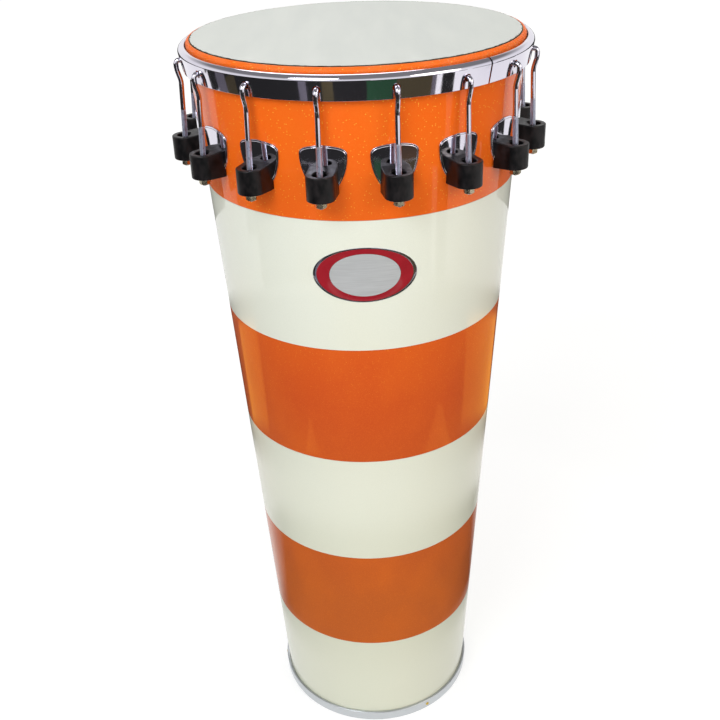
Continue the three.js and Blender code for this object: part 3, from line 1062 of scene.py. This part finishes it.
def make_plate_mesh():
    """Die-cast plate that follows the shell: a rounded edge, a low rim and a slightly crowned field."""
    outline, centre = plate_outline()

    def seat(across, up):
        return sqrt((laminate(up) + touch_gap) ** 2 - across ** 2)

    # Rings of the outline from the back over the edge and the rim to the field, each with its height
    side = plate_rim - plate_edge
    rings = [(outline, 0), (outline, side)]
    for t in (QUARTER / 3, QUARTER * 2 / 3, QUARTER):
        rings.append((inset(outline, plate_edge * (1 - cos(t))), side + plate_edge * sin(t)))
    for inwards, rise in ((0, 0), (0.2, 0.25), (0.45, 0.4), (0.8, 0.45)):
        rings.append((inset(outline, plate_rim_width + inwards), plate_rim + rise))
    field, field_height = rings[-1]
    for share in (0.8, 0.6, 0.4, 0.2):
        lift = field_height + plate_crown * (1 - share * share)
        rings.append(([centre + (p - centre) * share for p in field], lift))
    verts = [(seat(*p) + height, p.x, p.y) for ring, height in rings for p in ring]
    middle = (seat(*centre) + field_height + plate_crown, 0, centre.y)
    verts += [middle, (seat(*centre), 0, centre.y)]
    return mesh_of("lug_plate", verts, domed(len(rings), len(outline)), [CHROME])


def make_screw_mesh():
    """Hexagon screw and washer that hold a lug, on the inner wall of the shell."""
    z = (block_bottom + block_top) / 2
    washer = rounded([
        (0, 0), (screw_washer_radius, 0, 0.3),
        (screw_washer_radius, washer_thickness, 0.3), (0, washer_thickness),
    ])
    head = hexagon_bar(screw_flats, screw_height, screw_chamfer)
    head = moved(Matrix.Translation((0, 0, washer_thickness)), head)
    inwards = lying(wood(z) - shell_wall, z, atan(taper) - QUARTER)
    both = moved(inwards, joined(turned(washer, even_angles(washer_sides)), head))
    return mesh_of("lug_screw", *both, [ZINC])


def make_stations():
    hook, nut, screw = make_hook_mesh(), make_nut_mesh(), make_screw_mesh()
    block, plate = make_block_mesh(), make_plate_mesh()
    for i, angle in enumerate(station_angles):
        n = f"{i + 1:02d}"
        piece(f"hook_rod_{n}", hook, "tension_hoop", [f"hook_{n}"], angle)
        piece(f"hook_nut_{n}", nut, f"nut_{n}", [f"nut_{n}"], angle)
        piece(f"lug_block_{n}", block, "shell", [f"lug_{n}"], angle)
        piece(f"lug_plate_{n}", plate, "shell", [f"lug_{n}"], angle)
        piece(f"lug_screw_{n}", screw, "shell", angle=angle)


def make_nameplate():
    """Plain oval plate, curved to the shell: a thin rolled edge, an enamelled border, a brushed field."""
    # Each ring: its share of the half height, how far it stands off the back, the finish that ends at it
    rings = [
        (1, 0.0, 0), (1, 0.45, 0), (0.985, 0.6, 0), (0.955, 0.6, 0),
        (0.95, 0.5, 1), (0.78, 0.5, 1), (0.775, 0.6, 0), (0.5, 0.62, 2), (0.25, 0.63, 2),
    ]
    finishes = [CHROME, ENAMEL, BRUSHED]
    count = nameplate_sides

    def place(across, up, off):
        z = nameplate_height + up
        radius = laminate(z) + off + nameplate_seat
        turn = across / laminate(z)
        return (radius * cos(turn), radius * sin(turn), z)

    verts = []
    for share, off, _ in rings:
        width = (nameplate_half_width - nameplate_half_height * (1 - share)) * share
        height = nameplate_half_height * share
        verts += [place(width * cos(t), height * sin(t), off) for t in even_angles(count)]
    verts += [place(0, 0, rings[-1][1]), place(0, 0, 0)]
    finish = [kind for _, _, kind in (*rings[1:], rings[-1], rings[0]) for _ in range(count)]
    mesh = mesh_of("nameplate", verts, domed(len(rings), count), finishes, finish)
    piece("nameplate", mesh, "shell", angle=nameplate_angle)


# Camera, where the photograph was taken from. The picture is square
camera_place = (5.67, -1083.69, 1100.3)
camera_yaw = radians(-0.729)
camera_pitch = radians(29.035)
camera_roll = radians(-2.099)
camera_lens = 49.23
camera_sensor = 36


def make_camera():
    data = bpy.data.cameras.new("camera")
    data.lens, data.sensor_width, data.sensor_fit = camera_lens, camera_sensor, "HORIZONTAL"
    camera = placed("camera", data)
    level = Vector((cos(camera_yaw), -sin(camera_yaw), 0))
    reach = cos(camera_pitch)
    ahead = Vector((sin(camera_yaw) * reach, cos(camera_yaw) * reach, -sin(camera_pitch)))
    up = level.cross(ahead)
    right = level * cos(camera_roll) + up * sin(camera_roll)
    over = up * cos(camera_roll) - level * sin(camera_roll)
    turn = Matrix((right, over, -ahead)).transposed().to_4x4()
    camera.matrix_world = Matrix.Translation(Vector(camera_place) * MM) @ turn
    scene.camera = camera


def ray(tree, *kinds):
    """1 for rays of these kinds, else 0."""
    path = add(tree, "LightPath")
    value = path.outputs[kinds[0]]
    for kind in kinds[1:]:
        value = worked_out(tree, "MAXIMUM", value, path.outputs[kind])
    return value


def floor_paint(tree):
    """Matt pale grey paint, lifted to the background's white for the rays that show the background."""
    cloud = noise(tree, 400)
    paint = principled(tree, {"Base Color": mixed(tree, cloud, "#A6A6A4", "#ADADAC"), "Roughness": 0.8})
    shown = ray(tree, "Is Camera Ray", "Is Glossy Ray", "Is Transmission Ray")
    # Far from the lamps the paint itself is darker, so the lift grows from 0.5 to 3.5 m from the drum
    full = spread(tree, length_of(tree, place_of(tree)), 0.5, 3.5, 0.64, 0.8)
    sockets = {"Color": linear("#FFFFFF"), "Strength": spread(tree, shown, 0.0, 1.0, 0.0, full)}
    lift = add(tree, "Emission", sockets).outputs[0]
    return add(tree, "AddShader", {0: paint, 1: lift}).outputs[0]


def dyed_felt(colour, glow):
    """Felt in one dye for metal and gloss laminate to mirror. Where it has a glow, it shines in its dye as
    painted light, though it is no lamp.
    """
    def build(tree):
        return principled(tree, {
            "Base Color": mixed(tree, noise(tree, 4), colour, "#0E0D0D"),
            "Roughness": 0.9,
            "Emission Color": linear(colour),
            "Emission Strength": glow,
            "Alpha": add(tree, "Attribute", attribute_name="cover").outputs["Fac"],
        })
    return build


floor_half = 15000
cloth_height = 2  # the lowest cloth
cloth_spacing = 0.25

# Dyes of the cloths on the floor, and how much each glows
dyes = {
    "black": ("#080808", 0),
    "grey": ("#8C8794", 0),
    "olive": ("#5A4E28", 0),
    "brown": ("#6A4A2A", 0),
    "green": ("#08572E", 0),
    # The tan and amber cloths glow as painted light, though they are no lamps
    "tan": ("#E8A03C", 1.4),
    "amber": ("#E8A03C", 1.4),
}

# Cloths round the drum, each on top of those before it: dye, start and end in degrees from the front,
# inner and outer radius. Some have the fading at their edges as well, in degrees and in millimetres,
# and the share of their width that is left at the outer radius
cloths = [
    # Mirrored by the lower bands
    ("black", -122, 146, 190, 520, 26, 60), ("black", -165, 165, 580, 1340, 8, 90),
    ("amber", -134, -97, 690, 1180, 4, 60), ("amber", 88, 150, 690, 1180, 4, 60),
    ("tan", -57, -43, 670, 785, 1, 10, 0.1), ("tan", 48, 78, 665, 815, 1, 10, 0.1),
    # Mirrored by the hoop
    ("black", -109, -101, 1950, 2250), ("grey", -101, -92, 1800, 2200), ("olive", -92, -83, 1600, 2100),
    ("black", -83, -37, 1300, 1950), ("grey", -37, -32, 1300, 1950), ("black", -32, -22, 1300, 1950),
    ("olive", -22, -15, 1300, 1950), ("black", -15, 6, 1300, 1950), ("green", 6, 25, 1300, 1950),
    ("olive", 25, 48, 1300, 1950), ("grey", 48, 51, 1300, 1950), ("black", 55, 64, 1300, 1950),
    # Mirrored by the top band and the plates
    ("black", -165, -120, 1850, 2280), ("black", -112, -101, 2250, 3600), ("brown", -101, -92, 2200, 3600),
    ("black", -92, 28, 1950, 3600), ("brown", 28, 42, 1950, 3600), ("black", 42, 60, 1950, 3600),
    ("black", 66, 71, 1950, 3600), ("black", 76, 92, 2000, 3600), ("black", 92, 106, 2230, 3600),
    ("black", 106, 118, 2440, 3600), ("black", 120, 165, 1850, 2280),
    # Mirrored by the hooks
    ("black", -180, 8, 3600, 14000), ("black", 95, 180, 3600, 14000),
    # Mirrored when the drum is seen from behind
    ("black", 155, 176, 2280, 3400), ("black", 184, 200, 1400, 3400),
]


def lay_cloth(name, felt, height, start, end, inner, outer, fan=0, blur=0, narrow=1):
    """A cloth on the floor. Its cover attribute falls from 1 to 0 along the edges that fade."""
    step = (end - start - 2 * fan) / cloth_steps
    turns = [(start + fan + step * k, 1) for k in range(cloth_steps + 1)]
    rings = [(inner + blur, 1), (outer - blur, 1)]
    if fan:
        turns = [(start, 0), *turns, (end, 0)]
        rings = [(inner, 0), *rings, (outer, 0)]
    middle = (start + end) / 2
    verts = []
    for degrees, _ in turns:
        for radius, _ in rings:
            width = 1 + (narrow - 1) * (radius - inner) / (outer - inner)
            angle = FRONT + radians(middle + (degrees - middle) * width)
            verts.append((radius * cos(angle) * MM, radius * sin(angle) * MM, height * MM))
    across = len(rings)
    corners = [k * across + j for k in range(len(turns) - 1) for j in range(across - 1)]
    mesh = bpy.data.meshes.new(name)
    mesh.from_pydata(verts, [], [(c, c + 1, c + across + 1, c + across) for c in corners])
    mesh.materials.append(felt)
    cover = mesh.attributes.new("cover", "FLOAT", "POINT")
    cover.data.foreach_set("value", [a * b for _, a in turns for _, b in rings])
    cloth = placed(name, mesh)
    for kind in ("camera", "diffuse", "shadow", "transmission"):
        setattr(cloth, f"visible_{kind}", False)
    return cloth


def make_stage():
    corners = [(x * floor_half, y * floor_half, 0) for x, y in ((-1, -1), (1, -1), (1, 1), (-1, 1))]
    sheet = mesh_of("floor", corners, [(0, 1, 2, 3)], [material("floor_paint", floor_paint)])
    ground = placed("floor", sheet)
    felts = {dye: material(f"felt_{dye}", dyed_felt(*look)) for dye, look in dyes.items()}
    for i, (dye, *shape) in enumerate(cloths):
        lay_cloth(f"cloth_{i + 1}", felts[dye], cloth_height + cloth_spacing * i, *shape)


# Lamps: where each stands, its width, its power in watts and its colour
lamps = {
    "key_softbox": ((-900, -1700, 2100), 1100, 24, "#F6FAFF"),
    "fill_softbox": ((1500, -1300, 1500), 1200, 11, "#FFF6E8"),
    "foot_softbox": ((-300, -1900, 500), 900, 7, "#FFFCF2"),
    "back_softbox": ((-200, 1500, 2400), 1200, 11, "#FFFFFF"),
}
lamp_target = (0, 0, 480)

# Strength of the white walls as a lamp, and of the ceiling in a mirror. The ceiling starts and is in full
# where a direction points up by these shares
wall_light = 0.62
ceiling_mirrored = 0.25
ceiling_start, ceiling_full = 0.28, 0.55


def make_lights():
    for name, (place, width, power, colour) in lamps.items():
        data = bpy.data.lights.new(name, "AREA")
        data.shape, data.size, data.energy, data.color = "DISK", width * MM, power, linear(colour)[:3]
        lamp = placed(name, data)
        lamp.visible_glossy = name != "foot_softbox"
        lamp.location = Vector(place) * MM
        lamp.rotation_euler = (Vector(lamp_target) - Vector(place)).to_track_quat("-Z", "Y").to_euler()
    scene.world = bpy.data.worlds.new("studio")
    scene.world.use_nodes = True
    tree = scene.world.node_tree
    tree.nodes.clear()
    # White walls, and a ceiling that polished metal mirrors as a mid grey
    direction = add(tree, "TexCoord").outputs["Generated"]
    rise = add(tree, "SeparateXYZ", {0: direction}).outputs[2]
    mirrored = spread(tree, rise, ceiling_start, ceiling_full, 1.0, ceiling_mirrored)
    strength = spread(tree, ray(tree, "Is Glossy Ray"), 0.0, 1.0, wall_light, mirrored)
    shown = ray(tree, "Is Camera Ray", "Is Transmission Ray")
    strength = spread(tree, shown, 0.0, 1.0, strength, 1.0)
    sky = add(tree, "Background", {"Color": linear("#FFFFFF"), "Strength": strength})
    add(tree, "OutputWorld", {"Surface": sky.outputs[0]})
    scene.view_settings.view_transform = "Standard"


make_camera()
make_shell()
make_wraps()
make_foot_ring()
make_head()
make_counterhoop()
make_stations()
make_nameplate()
make_stage()
make_lights()
